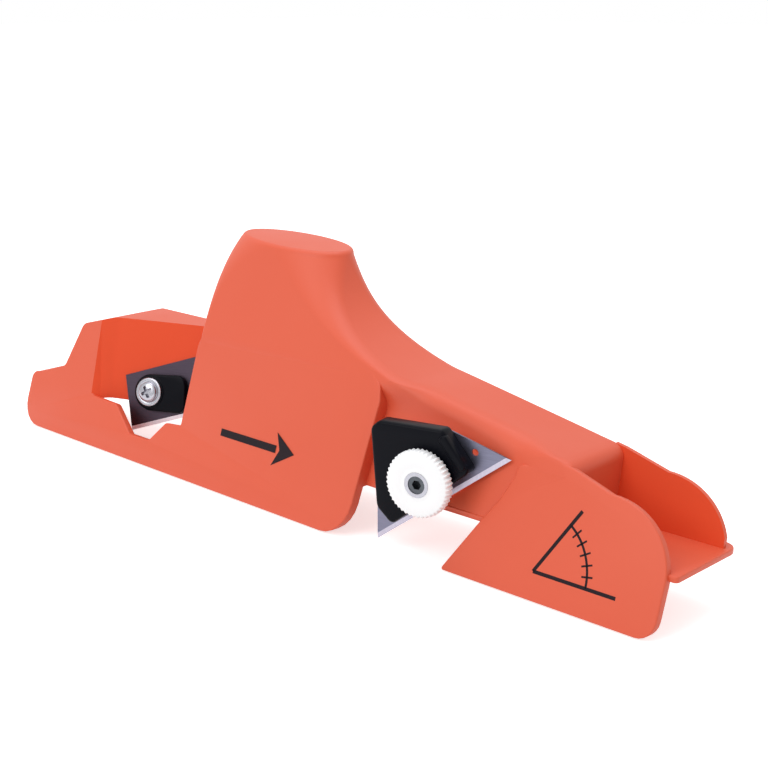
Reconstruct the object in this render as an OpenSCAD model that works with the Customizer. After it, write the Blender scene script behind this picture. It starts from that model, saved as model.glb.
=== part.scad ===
// Chamfer plane for plasterboard edges: one moulded body with a leaning fence, a palm
// handle that sweeps down into a shelf, and two clamped cutters, one steep and one at
// about 45 degrees. The sole's underside is z = 0 and the fence hangs below it.
// +X runs forward along the cut, +Y goes from the fence across the board, +Z is up.

/* [Body] */
// Length of the fence wall
body_len = 329.4; // [300:0.2:360]
// How far the fence hangs below the sole
fence_depth = 17.45; // [14:0.05:20]
// Lean of the fence wall from upright, top away from the fence side
wall_lean = 18.4; // [15:0.1:23]
// Lean of the far wall from upright
far_lean = 12; // [8:0.5:14]
// Fence side of the body at the sole, from the sole's middle
near_y = -18.2; // [-20:0.1:-17]
// Far side of the body at the sole's top face
far_y = 14; // [13:0.1:16]
// Wall thickness of the moulding
wall_t = 3; // [2.4:0.1:3.4]
// Thickness of the sole
sole_t = 2; // [1.6:0.1:2.6]
// Far edge of the sole flange
sole_y = 19; // [17:0.1:21]
// Front end of the sole
sole_front = 166; // [165:0.1:170]
// Rear end of the sole
sole_rear = -161.5; // [-164:0.1:-158]

/* [Handle] */
// Height of the palm face above the sole
handle_h = 74.5; // [68:0.25:80]
// Middle of the palm face along the body
handle_x = -27.5; // [-32:0.5:-24]
// Half length of the palm face
palm_a = 29; // [26:0.5:31]
// Fall of the palm face per millimetre forward
palm_fall = 0.0385; // [0:0.0005:0.06]
// Rear flank of the handle
handle_rear = -60.9; // [-64:0.1:-58]
// Where the sweep meets the shelf
sweep_x = 50; // [44:0.5:54]
// How far back the sweep runs in all
sweep_reach = 54.5; // [51:0.5:57]
// Climb over which the sweep nears the upright
sweep_climb = 13.6; // [12:0.1:15]
// Edge radius round the palm face
palm_r = 1.6; // [1.2:0.1:2.5]

/* [Shelf and pocket] */
// Height of the shelf where the sweep meets it
shelf_h = 37.1; // [35:0.1:39]
// Fall of the shelf per millimetre forward
shelf_fall = 0.17; // [0.15:0.005:0.18]
// Wall at the back of the front pocket
pocket_x = 123.5; // [120:0.5:128]
// Radius of the pocket walls' front corner
nose_r = 24.4; // [20:0.2:27]

/* [Fence panels] */
// Front edge of the middle panel
panel_front = 42; // [38:0.5:46]
// How far its foot stays behind that edge
panel_rake = 3; // [0:0.5:5]
// How far the middle panel's front edge stands proud
panel_proud = 3.4; // [2.5:0.1:4]
// Thickness of the middle panel below the sole
panel_t = 3.6; // [3.1:0.1:4]
// Height of the middle panel, measured up the wall
panel_h = 38.5; // [36:0.5:40]
// Front panel's rear edge at the fence's foot
front_panel_foot = 80.5; // [78:0.5:84]
// Front panel's rear edge at the sole
front_panel_sole = 93.1; // [90:0.5:95]
// How far the front panel's foot stays behind its front edge
front_rake = 1.7; // [0:0.1:3]
// Setback of the shelf's near wall behind the fence face
shelf_setback = 1.5; // [1:0.1:2]

/* [Rear block] */
// Height of the rear block's top plate
block_h = 33.35; // [30:0.25:36]
// Rear edge of the blade window
window_x = -120.7; // [-124:0.1:-118]
// Depth of the window notch below the sole's top, measured down the wall
notch_d = 10.7; // [8:0.1:12]
// Yaw of the low cutter's seat
low_yaw = 20; // [18:0.5:22]
// Lean of the low cutter's seat
low_lean = 14; // [12:0.5:16]
// Climb of the low cutter's edge in its seat
low_climb = 18.4; // [16:0.2:21]

/* [Steep cutter] */
// Yaw of the steep cutter
steep_yaw = 14.1; // [12:0.1:16]
// Climb of the steep cutter's edge
steep_climb = 36.2; // [34:0.2:38]
// Length of the steep blade along its edge
blade_len = 61; // [58:0.5:62]
// Length of the steep blade's back
blade_back = 33; // [31:0.5:36]
// Width of the steep blade
blade_w = 19; // [18:0.1:19.5]
// Thickness of both blades
blade_t = 0.65; // [0.5:0.05:0.9]
// Width of the ground bevel
bevel_w = 1.6; // [1:0.1:2.4]
// Thickness of the steep clamp
clamp_t = 5.8; // [5:0.1:7]
// Diameter of the thumb nut
knob_d = 23.2; // [21:0.1:25]
// Thickness of the thumb nut
knob_t = 4.6; // [4:0.1:6]
// Number of ribs round the thumb nut
knob_ribs = 45; // [36:1:50]

/* [Low cutter] */
// Length of the low blade along its edge
low_len = 40; // [36:0.5:42]
// Width of the low blade
low_w = 23.2; // [21:0.1:24]
// How far the low blade's ends draw in at its back
low_rake = 2; // [0:0.5:3]
// Thickness of the low clamp
low_clamp_t = 2.6; // [2.2:0.1:3.4]
// Diameter of the screw head's flange
head_d = 11.8; // [10.6:0.1:12.2]
// Thickness of the screw head's flange
flange_t = 0.7; // [0.5:0.1:1]
// Height of the screw head over its flange
head_h = 1.8; // [1.5:0.1:2.4]

/* [Fasteners] */
// Thread diameter of the steep cutter's bolt
thread_d = 6; // [5:0.5:6]
// Thread diameter of the low cutter's screw
low_thread_d = 4.8; // [4:0.1:5]
// Diameter of the low screw's threaded insert
insert_d = 6.6; // [6:0.1:6.8]
// Length of the threaded insert
insert_h = 5; // [4:0.1:5.5]
// Radial gap of a thread in its nut
thread_gap = 0.05; // [0.02:0.01:0.1]
// Radial gap of a clearance hole
hole_gap = 0.25; // [0.2:0.05:0.5]
// Size of the hexagons across flats
hex_af = 10; // [9:0.5:10]
// Height of the hexagons
hex_h = 4; // [3:0.1:5]
// Diameter of the sole cover's screws
cover_screw_d = 3; // [2.5:0.1:3.5]
// Gap between pieces that lie in one another
seat_gap = 0.2; // [0.1:0.05:0.3]

/* [Hidden] */
$fn = 48;
eps = 0.01;

near_k = tan(wall_lean);
far_k = tan(far_lean);
foot_w = -fence_depth / cos(wall_lean);
proud_foot = foot_w - panel_proud * tan(wall_lean);
x_rear = -body_len / 2;
x_front = body_len / 2;
sole_w = sole_t / cos(wall_lean);

// Sides of the body at a height
function side_near(z) = near_y + near_k * z;
function side_far(z) = far_y + far_k * (z - sole_t);
function clamp01(t) = min(1, max(0, t));
function ease(t) = let (c = clamp01(t)) c * c * (3 - 2 * c);

// The ridge: a straight shelf, then a sweep that turns upright as it climbs the handle
function shelf_z(x) = shelf_h + shelf_fall * (sweep_x - x);
function ridge_x(z) = z > shelf_h
    ? sweep_x - sweep_reach * (1 - exp(-(z - shelf_h) / sweep_climb))
    : min(pocket_x, sweep_x + (shelf_h - z) / shelf_fall);

// Bulge of the near face towards the middle panel's front edge
function bulge(x, z) = ease((z - 26) / 11) * panel_proud
    * clamp01((x - handle_rear) / (panel_front - handle_rear)) * clamp01((panel_front + 16 - x) / 14);

// Tilt of the palm face, faded out down the handle
function tilt(x, z) = palm_fall * (handle_x - x) * pow(clamp01(z / handle_h), 6);

// A level of the handle, inset by t, as a rectangle with elliptical corners:
// [[rear x, front x], [near y, far y], rear corner, front corner]
function level(z, t = 0) =
    let (top = handle_h - t, u = clamp01(z / handle_h),
         round_in = t + palm_r * (1 - sqrt(max(0, 1 - pow(clamp01((z - top + palm_r) / palm_r), 2)))),
         x0 = handle_rear + pow(u, 3) * (handle_x - palm_a - handle_rear) + round_in,
         x1 = min(ridge_x(z), pocket_x) - round_in,
         y0 = side_near(z) + shelf_setback * (1 - ease((z - 26) / 11)) - 2.2 * pow(u, 4) + round_in,
         y1 = side_far(z) + 0.8 * pow(u, 4) - round_in,
         a = palm_a - 1.2, b = (y1 - y0) / 2)
    [[x0, x1], [y0, y1],
     [min((x1 - x0) / 2, 1.2 + a * pow(u, 6)), min(b, 1.2 + b * pow(u, 6))],
     [min((x1 - x0) / 2, 2.2 + a * pow(u, 3)), min(b, 1.2 + b * pow(u, 3))]];

function ring(l, z, n) =
    [for (q = [0:3], i = [0:n])
        let (front = q == 0 || q == 3, far = q < 2, r = front ? l[3] : l[2], a = 90 * (q + i / n),
             x = (front ? l[0][1] - r[0] : l[0][0] + r[0]) + r[0] * cos(a),
             y = (far ? l[1][1] - r[1] : l[1][0] + r[1]) + r[1] * sin(a))
        [x, y - bulge(x, z) * clamp01((l[1][1] - y) / (l[1][1] - l[1][0])), z + tilt(x, z)]];

// A closed skin through rings of equal count
module skin(rings) {
    n = len(rings[0]);
    m = len(rings);
    points = [for (r = rings) each r];
    sides = [for (j = [0:m - 2], i = [0:n - 1])
        let (a = j * n + i, b = j * n + (i + 1) % n, c = b + n, d = a + n) each [[a, d, c], [a, c, b]]];
    polyhedron(points, concat([[for (i = [0:n - 1]) i]], sides,
                              [[for (i = [n - 1:-1:0]) (m - 1) * n + i]]), convexity = 6);
}

module handle_form(t, z0, n = 9, steps = 26) {
    top = handle_h - t;
    lower = [for (i = [0:steps]) z0 + (top - palm_r - z0) * i / steps];
    upper = [for (a = [15:15:75]) top - palm_r + palm_r * sin(a)];
    skin([for (z = concat(lower, upper)) ring(level(z, t), z, n)]);
}

// A block whose vertical faces lean: each point is [x, y, x per z, y per z]
module leaning_block(pts, z0, z1) {
    skin([for (z = [z0, z1]) [for (p = pts) [p[0] + p[2] * z, p[1] + p[3] * z, z]]]);
}

// The fence wall's own plane: x along the body, y up the wall, z outwards
module wall_plane() translate([0, near_y, 0]) rotate([90 - wall_lean, 0, 0]) children();
// The two seats: x along the seat, y up it, z outwards, origin on the screw axis
steep_at = [72.2, -17.89, 11.91];
low_at = [-96.58, -2.87, 4.8];
module steep_seat() translate(steep_at) rotate([90, 0, steep_yaw]) children();
module low_seat() translate(low_at) rotate([90 - low_lean, 0, low_yaw]) children();

module round_poly(r, pts) offset(r = r, $fn = 32) offset(delta = -r) polygon(pts);

// Plan of the rear block at z = 0: the inner wall follows the low seat
low_dir = [cos(low_yaw), sin(low_yaw)];
low_k = tan(low_lean);
low_slope = [-sin(low_yaw) * low_k, cos(low_yaw) * low_k];
low_foot = [low_at[0] - low_slope[0] * low_at[2], low_at[1] - low_slope[1] * low_at[2]];
function low_wall(x) = low_foot[1] + (x - low_foot[0]) * low_dir[1] / low_dir[0];
block_end = handle_rear + wall_t;
corner_x = window_x + 5.5;

function arc(c, r, a0, a1, n = 9) =
    [for (i = [0:n]) let (a = a0 + (a1 - a0) * i / n) c + r * [cos(a), sin(a)]];

// The middle panel's front edge, from its foot up and back along its top
function panel_edge(foot) = concat(arc([panel_front - panel_rake - 12, foot + 12], 12, 270, 360),
    [[panel_front, panel_h - 8], [panel_front - 1.5, panel_h - 2.5], [panel_front - 6, panel_h + 1.5],
     [panel_front - 17, panel_h + 6.5], [panel_front - 26, panel_h + 10.5],
     [handle_rear + 4, panel_h + 10.5], [handle_rear + 0.6, panel_h + 3], [handle_rear, panel_h - 5]]);

module fence_outline() {
    notch_w = sole_w - notch_d;
    top_w = block_h / cos(wall_lean);
    polygon(concat(arc([x_rear + 11, foot_w + 11], 11, 180, 270), panel_edge(foot_w),
        [[handle_rear, sole_w - 1], [window_x + 50.7, sole_w - 1.8], [window_x + 48.5, sole_w - 2.6],
         [window_x + 42.5, notch_w], [window_x + 30, notch_w], [window_x + 17.5, sole_w - 0.6],
         [window_x + 5, sole_w], [window_x + 1.6, sole_w + 0.8], [window_x - 0.4, 7],
         [window_x - 1.9, 20], [window_x - 2.6, 26], [window_x - 3.4, top_w - 1.6], [x_rear + 29, top_w - 5],
         [x_rear + 27.2, top_w - 6.4], [x_rear + 25.9, top_w - 8.6], [x_rear + 22.1, 10.8],
         [x_rear + 7, 5.6], [x_rear + 2, 4.9], [x_rear + 0.4, 3.4]]));
}

// Outline of both pocket walls, k times as tall on a leaning face
module nose_outline(x0, k) {
    top = shelf_z(pocket_x);
    fall = 0.215;
    intersection() {
        polygon([[x0, -40], [x_front, -40], [x_front, k * (top - fall * (x_front - pocket_x))],
                 [x0, k * (top + fall * (pocket_x - x0))]]);
        polygon(concat([[x0 - 1, -41], [x_front, -41]], [for (a = [0:5:90])
            [x_front - nose_r + nose_r * cos(a), k * ((top - 3.3) * sin(a) - 1)]],
            [[x0 - 1, k * (top + 9)]]));
    }
}

module front_panel_outline() {
    intersection() {
        nose_outline(front_panel_foot - 5, 0.98 / cos(wall_lean));
        round_poly(1.5, [[front_panel_foot, foot_w], [x_front, foot_w], [x_front, 40],
                         [front_panel_sole + 9, 40], [front_panel_sole + 9, 18],
                         [front_panel_sole + 5, 9.5], [front_panel_sole, sole_w]]);
        polygon(concat(arc([x_front - front_rake - 6.2, foot_w + 6.2], 6.2, 270, 354),
            [[x_front, sole_w + 4], [x_front, 80], [0, 80], [0, foot_w]]));
    }
}

cover = [-50, 112, -9, 8];
rim = 4.5;
boss_at = [for (x = [cover[0] + 4, cover[1] - 4], y = [cover[2] + 4, cover[3] - 4]) [x, y]];

module sole_outline() {
    difference() {
        intersection() {
            translate([sole_rear, near_y + shelf_setback + 0.3])
                square([sole_front - sole_rear, sole_y - near_y - shelf_setback - 0.3]);
            round_poly(5, [[sole_rear, near_y - 9], [sole_front, near_y - 9],
                           [sole_front, sole_y], [sole_rear, sole_y]]);
        }
        translate(low_slope * (sole_t + 0.5))
            polygon([[window_x, near_y - 2], [window_x, near_y + wall_t], [corner_x, low_wall(corner_x)],
                [handle_rear + 1, low_wall(handle_rear + 1)], [handle_rear + 1, near_y - 2]]);
    }
}

module body_shell() {
    wall_plane() translate([0, 0, -wall_t]) linear_extrude(wall_t) fence_outline();
    wall_plane() translate([0, 0, -wall_t]) linear_extrude(wall_t) front_panel_outline();
    // The middle panel stands proud towards its front edge
    wall_plane() difference() {
        translate([0, 0, -1]) linear_extrude(1 + panel_proud)
            polygon(concat([[handle_rear, proud_foot]], panel_edge(proud_foot)));
        translate([handle_rear, proud_foot - 1, 0])
            rotate([0, -atan(panel_proud / (panel_front - handle_rear)), 0])
                translate([-20, 0, 0]) cube([200, 80, 30]);
    }
    // Rear block behind the window
    intersection() {
        leaning_block([[sole_rear, near_y, 0, near_k], [window_x + 0.4, near_y, -0.115, near_k],
            [corner_x, low_wall(corner_x), 0, low_slope[1] - low_slope[0] * low_dir[1] / low_dir[0]],
            [block_end, low_wall(block_end), low_slope[0], low_slope[1]],
            [block_end, far_y, 0, far_k], [sole_rear, far_y, 0, far_k]], 0, block_h);
        translate([0, 60, 0]) rotate([90, 0, 0]) linear_extrude(120)
            polygon([[sole_rear, 0], [block_end, 0], [block_end, block_h],
                [window_x + 1.5, block_h], [x_rear + 29.7, 28.7], [x_rear + 25.9, 25.8],
                [x_rear + 22.1, 10.2], [x_rear + 7, 5.3], [sole_rear, 4.6]]);
    }
    linear_extrude(sole_t) sole_outline();
    handle_form(0, 0);
    // Far wall of the front pocket
    intersection() {
        translate([0, 60, 0]) rotate([90, 0, 0]) linear_extrude(120) nose_outline(pocket_x - 4, 1);
        leaning_block([[pocket_x - 4, far_y - wall_t / 2, 0, far_k], [x_front - 1, far_y - wall_t / 2, 0, far_k],
            [x_front - 1, far_y, 0, far_k], [pocket_x - 4, far_y, 0, far_k]], 0, 40);
    }
    // Pad that carries the steep blade
    intersection() {
        steep_seat() translate([0, 0, -16]) linear_extrude(16)
            polygon([[-17, 12], [7, 12], [20, 6], [9, -5], [0, -11.5], [-10, -11.5], [-17, -6]]);
        translate([30, near_y - 30, 0]) cube([90, 60, 30]);
    }
}

module body() {
    color("#e8705a") difference() {
        body_shell();
        // The middle panel keeps one thickness below the sole, and the fence's underside is level
        intersection() {
            wall_plane() translate([handle_rear, foot_w - 9, 0])
                rotate([0, -atan(panel_proud / (panel_front - handle_rear)), 0])
                    translate([0, 0, -20 - panel_t]) cube([panel_front - handle_rear + 8, 60, 20]);
            translate([handle_rear - 20, -60, -40.02]) cube([140, 80, 40]);
        }
        translate([x_rear - 5, near_y - 40, -fence_depth - 20.05]) cube([body_len + 10, 80, 20]);
        // Hollow of the handle and shelf, and the cover's opening below it
        difference() {
            handle_form(wall_t, rim);
            for (p = boss_at) translate([p[0], p[1], 0]) cylinder(d = 7, h = 9);
            steep_seat() translate([0, 0, -14]) cylinder(d = hex_af + 6, h = 20);
        }
        translate([cover[0], cover[2], -eps]) cube([cover[1] - cover[0], cover[3] - cover[2], sole_t + eps]);
        difference() {
            translate([cover[0] + 3, cover[2] + 3, sole_t - eps])
                cube([cover[1] - cover[0] - 6, cover[3] - cover[2] - 6, rim]);
            for (p = boss_at) translate([p[0], p[1], 0]) cylinder(d = 7, h = 9);
        }
        for (p = boss_at) translate([p[0], p[1], 0]) cylinder(d = cover_screw_d, h = 8.5);
        // Screw holes and hexagon pockets of the two seats
        steep_seat() {
            translate([0, 0, -30]) cylinder(r = thread_d / 2 + hole_gap, h = 40);
            translate([0, 0, -14 - 16]) cylinder(d = (hex_af + 2 * seat_gap) / cos(30), h = 20, $fn = 6);
        }
        low_seat() {
            translate([0, 0, -low_reach]) cylinder(r = low_thread_d / 2 + hole_gap, h = 20);
            translate([0, 0, -insert_h - 0.4]) cylinder(r = insert_d / 2 + thread_gap, h = 20);
        }
    }
}

module sole_cover() {
    color("#d9654f") difference() {
        translate([cover[0] + seat_gap, cover[2] + seat_gap, 0])
            cube([cover[1] - cover[0] - 2 * seat_gap, cover[3] - cover[2] - 2 * seat_gap, sole_t]);
        for (p = boss_at) translate([p[0], p[1], -eps]) {
            cylinder(d = cover_screw_d + 2 * hole_gap, h = 5);
            cylinder(d1 = 2 * cover_screw_d + 4 * hole_gap, d2 = cover_screw_d + 2 * hole_gap,
                     h = cover_screw_d / 2 + 2 * seat_gap);
        }
    }
}

module cover_screws() {
    color("silver") for (p = boss_at) translate([p[0], p[1], 0]) {
        translate([0, 0, 0.2]) cylinder(d1 = 2 * cover_screw_d, d2 = cover_screw_d, h = cover_screw_d / 2);
        translate([0, 0, 0.2]) cylinder(d = cover_screw_d - 2 * thread_gap, h = 7.8);
    }
}

// A bevelled blade: edge along x from the origin, back towards +y, flat side on z = 0
module blade_bar(len, w) {
    translate([-1, 0, 0]) rotate([90, 0, 90]) linear_extrude(len + 2)
        polygon([[0, blade_t / 2 - 0.04], [bevel_w, 0], [w, 0], [w, blade_t], [bevel_w, blade_t],
                 [0, blade_t / 2 + 0.04]]);
}

steep_tip = [-20.8, -26.2];
module steep_blade() {
    lip = (blade_len - blade_back) / 2;
    color("#8f8ba6") steep_seat() difference() {
        translate([steep_tip[0], steep_tip[1], 0]) rotate([0, 0, steep_climb]) intersection() {
            blade_bar(blade_len, blade_w);
            translate([0, 0, -1]) linear_extrude(3)
                polygon([[0, 0], [blade_len, 0], [blade_len - lip, blade_w], [lip, blade_w]]);
        }
        translate([0, 0, -1]) cylinder(r = thread_d / 2 + hole_gap, h = 3);
        translate([15.6, 10.5, -1]) cylinder(d = 2.4, h = 3);
        translate([-14.8, -12.5, -1]) cylinder(d = 2.4, h = 3);
    }
}

steep_lift = blade_t + 0.05;
module steep_clamp() {
    pts = [[-20.4, 15.2], [-17.2, 18], [6.3, 18], [16.4, 5.2], [-12.4, -17.9], [-18.2, -12.4]];
    color("#1c1c22") steep_seat() translate([0, 0, steep_lift]) difference() {
        union() {
            linear_extrude(clamp_t - 1.2) round_poly(2.2, pts);
            translate([0, 0, clamp_t - 1.2 - eps]) linear_extrude(1.2 + eps) offset(delta = -0.9) round_poly(2.2, pts);
        }
        translate([0, 0, -1]) cylinder(r = thread_d / 2 + hole_gap, h = 20);
    }
}

washer_t = 0.8;
washer_z = steep_lift + clamp_t + 0.05;
knob_z = washer_z + washer_t + 0.05;
module knob_washer() {
    color("silver") steep_seat() translate([0, 0, washer_z]) difference() {
        cylinder(d = 14, h = washer_t);
        translate([0, 0, -1]) cylinder(r = thread_d / 2 + hole_gap, h = 4);
    }
}

bush_d = 8.6;
module thumb_nut() {
    color("white") steep_seat() translate([0, 0, knob_z]) difference() {
        union() {
            cylinder(d = knob_d - 1, h = knob_t);
            for (i = [0:knob_ribs - 1]) rotate([0, 0, 360 * i / knob_ribs])
                translate([knob_d / 2 - 0.55, 0, 0.4]) cylinder(d = 1.1, h = knob_t - 0.8, $fn = 8);
        }
        translate([0, 0, -1]) cylinder(d = bush_d, h = knob_t + 2);
    }
}

module thumb_nut_bush() {
    color("silver") steep_seat() translate([0, 0, knob_z]) difference() {
        cylinder(d = bush_d, h = knob_t);
        translate([0, 0, -1]) cylinder(r = thread_d / 2 + thread_gap, h = knob_t + 2);
    }
}

module steep_bolt() {
    color("silver") steep_seat() difference() {
        union() {
            translate([0, 0, -14]) cylinder(r = thread_d / 2, h = 14 + knob_z + knob_t - 0.3);
            translate([0, 0, -10 - hex_h - seat_gap]) cylinder(d = hex_af / cos(30), h = hex_h, $fn = 6);
        }
        translate([0, 0, knob_z + knob_t - 3]) cylinder(d = 3.4, h = 4, $fn = 6);
    }
}

low_corner = [-9.4 + 0.87, -14.6 - 2.37];
module low_blade() {
    color("#8f8ba6") low_seat() difference() {
        translate([low_corner[0], low_corner[1], 0]) rotate([0, 0, low_climb]) intersection() {
            blade_bar(low_len, low_w);
            translate([0, 0, -1]) linear_extrude(3)
                polygon([[0, 0], [low_len, 0], [low_len - low_rake, low_w], [low_rake, low_w]]);
        }
        translate([0, 0, -1]) cylinder(r = low_thread_d / 2 + hole_gap, h = 3);
    }
}

low_boss = 0.4;
module low_clamp() {
    color("#1c1c22") low_seat() translate([0, 0, steep_lift]) rotate([0, 0, 4]) difference() {
        union() {
            cylinder(r = 7.4, h = low_clamp_t);
            linear_extrude(low_clamp_t) round_poly(3.5, [[-4, -7.6], [16.6, -8.6], [16.6, 7.2], [-4, 7.4]]);
            cylinder(r = head_d / 2 + 0.7, h = low_clamp_t + low_boss);
        }
        translate([0, 0, -1]) cylinder(r = low_thread_d / 2 + hole_gap, h = 12);
    }
}

low_reach = 9;
low_head_z = steep_lift + low_clamp_t + low_boss + 0.05;
module low_screw() {
    color("silver") low_seat() difference() {
        union() {
            translate([0, 0, low_head_z]) cylinder(d = head_d, h = flange_t);
            translate([0, 0, low_head_z + flange_t - eps]) cylinder(d = head_d * 0.7, h = head_h * 0.6);
            translate([0, 0, low_head_z + flange_t + head_h * 0.6 - 2 * eps])
                cylinder(d1 = head_d * 0.7, d2 = head_d * 0.5, h = head_h * 0.4);
            translate([0, 0, 1 - low_reach]) cylinder(r = low_thread_d / 2, h = low_reach - 1 + low_head_z + eps);
        }
        for (a = [0, 90]) rotate([0, 0, a + 30])
            translate([-2.4, -0.6, low_head_z + flange_t + head_h - 1.5]) cube([4.8, 1.2, 3]);
    }
}

module low_insert() {
    color("gold") low_seat() translate([0, 0, -insert_h - 0.3]) difference() {
        cylinder(d = insert_d, h = insert_h);
        translate([0, 0, -1]) cylinder(r = low_thread_d / 2 + thread_gap, h = insert_h + 2);
    }
}

body();
sole_cover();
cover_screws();
steep_blade();
steep_clamp();
steep_bolt();
knob_washer();
thumb_nut();
thumb_nut_bush();
low_blade();
low_clamp();
low_screw();
low_insert();
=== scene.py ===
"""An edge plane for plasterboard: one orange moulding and two clamped cutters.

The sections follow the tool as it is put together. Sizes are in millimetres in the part's own
frame, and mesh_piece turns them into metres as the last step.
"""

import bmesh
import bpy
import numpy as np
from mathutils import Matrix, Vector


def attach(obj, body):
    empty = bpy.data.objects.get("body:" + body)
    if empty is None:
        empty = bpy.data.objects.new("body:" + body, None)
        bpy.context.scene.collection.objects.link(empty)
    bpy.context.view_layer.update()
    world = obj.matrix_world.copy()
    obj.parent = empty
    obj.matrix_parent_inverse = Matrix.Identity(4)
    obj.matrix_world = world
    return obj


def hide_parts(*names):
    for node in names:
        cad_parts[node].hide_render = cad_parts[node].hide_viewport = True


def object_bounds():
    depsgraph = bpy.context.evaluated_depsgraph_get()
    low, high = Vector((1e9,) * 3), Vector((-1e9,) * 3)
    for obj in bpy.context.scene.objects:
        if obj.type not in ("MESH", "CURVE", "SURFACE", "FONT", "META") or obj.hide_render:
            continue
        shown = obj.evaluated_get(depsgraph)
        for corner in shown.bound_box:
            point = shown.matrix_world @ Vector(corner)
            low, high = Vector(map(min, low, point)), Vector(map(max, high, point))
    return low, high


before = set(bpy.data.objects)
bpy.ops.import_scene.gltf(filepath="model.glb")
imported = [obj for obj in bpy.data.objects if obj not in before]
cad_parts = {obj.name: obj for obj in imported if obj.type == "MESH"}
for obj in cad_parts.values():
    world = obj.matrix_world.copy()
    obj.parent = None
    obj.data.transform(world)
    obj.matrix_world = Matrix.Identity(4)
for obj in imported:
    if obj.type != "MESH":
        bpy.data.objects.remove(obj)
solid_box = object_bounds()

# ---------------------------------------------------------------------------------------
# Camera: stands low beside the fence, in front of the steep cutter, and looks slightly
# down along the tool.
azimuth, elevation = np.radians(43.39), np.radians(15.42)
eye = (0.3721, -0.3588, 0.16835)
rightward = Vector((np.cos(azimuth), np.sin(azimuth), 0))
backward = Vector((np.sin(azimuth) * np.cos(elevation), -np.cos(azimuth) * np.cos(elevation),
                   np.sin(elevation)))
upward = backward.cross(rightward)
camera = bpy.data.objects.new("camera", bpy.data.cameras.new("camera"))
camera.data.sensor_width = 36
camera.data.lens = 67.716
camera.data.clip_start = 0.01
camera.matrix_world = Matrix.Translation(eye) @ Matrix(
    (rightward, upward, backward)).transposed().to_4x4()
bpy.context.scene.collection.objects.link(camera)
bpy.context.scene.camera = camera

# ---------------------------------------------------------------------------------------
# Moulding: the whole body is one injection moulding in orange ABS, a leaning fence with a
# palm handle that sweeps into a shelf, a front pocket, a rear block and two blade seats.
handle_h, palm_a, palm_mid, palm_r, palm_fall = 74.5, 29.0, -27.5, 1.6, 0.0385
handle_rear, pocket_x = -60.9, 123.5
sweep_x, sweep_reach, sweep_climb, shelf_h, shelf_fall = 50.0, 54.5, 13.6, 37.1, 0.17
wall_lean, far_lean = np.radians(18.4), np.radians(12)
near_y, far_y, setback = -18.2, 14.0, 1.5
panel_front, panel_proud, panel_h = 42.0, 3.4, 38.5
fence_depth, sole_t, wall_t, block_h = 17.45, 2.0, 3.0, 33.35
rear_end, front_end = -164.7, 164.7
foot_w = -fence_depth / np.cos(wall_lean)
sole_w = sole_t / np.cos(wall_lean)
window_x, notch_w = -120.7, sole_w - 10.7
brow_r, shelf_end = 4.5, shelf_h + shelf_fall * (sweep_x - pocket_x)
shoulder_low, shoulder_run = 26, 11


def ease(t):
    """Smooth step: 3t^2 - 2t^3 of t held between 0 and 1."""
    t = np.clip(t, 0, 1)
    return t * t * (3 - 2 * t)


def side_near(z):
    """The leaning fence plane: y grows by tan(lean) per millimetre of height."""
    return near_y + np.tan(wall_lean) * z


def side_far(z):
    """The far wall's plane, which leans outwards from the sole's top face."""
    return far_y + np.tan(far_lean) * (z - sole_t)


def shoulder(z):
    """0 under the middle panel's shoulder and 1 over it, by a smooth step in height."""
    return ease((z - shoulder_low) / shoulder_run)


def ridge_x(z):
    """Front end of the handle at height z: above the shelf it nears its limit as 1 - exp(-rise/climb)."""
    sweep = sweep_x - sweep_reach * (1 - np.exp(-np.maximum(z - shelf_h, 0) / sweep_climb))
    ridge = np.where(z > shelf_h, sweep, sweep_x + (shelf_h - z) / shelf_fall)
    # The pocket's back wall turns over into the shelf in an arc of radius brow_r
    over = np.clip(z - shelf_end + 0.84 * brow_r, 0, brow_r)
    return np.minimum(ridge, pocket_x - brow_r + np.sqrt(brow_r ** 2 - over ** 2))


def brow(x, z):
    """Inset that rounds the ridge's near edge: a quarter circle in the distance below the ridge."""
    run = np.clip(sweep_x - x, 0, 52)
    ridge = shelf_h + np.minimum(sweep_x - x, 0) * shelf_fall - sweep_climb * np.log(1 - run / sweep_reach)
    slope = np.where(x > sweep_x, shelf_fall, sweep_climb / (sweep_reach - run))
    r = 1 + 4 * ease((x - 44) / 16) - 4 * ease((x - 104) / 10)
    t = np.clip(1 - (ridge - z) / np.sqrt(1 + slope ** 2) / r, 0, 1)
    return r * (1 - np.sqrt(1 - t * t))


def bulge(x, z):
    """How far the near face stands out: a ramp along x, eased in by height, faded past the panel."""
    along = np.clip((x - handle_rear) / (panel_front - handle_rear), 0, 1)
    fade = np.clip((panel_front + 16 - x) / 14, 0, 1)
    # In front of the throat the wall comes out flush with the front panel
    flush = (setback * (1 - shoulder(z)) + 0.03) * ease((x - 100) / 8) * ease((z - 17) / 4)
    return panel_proud * shoulder(z) * along * fade + flush


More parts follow.
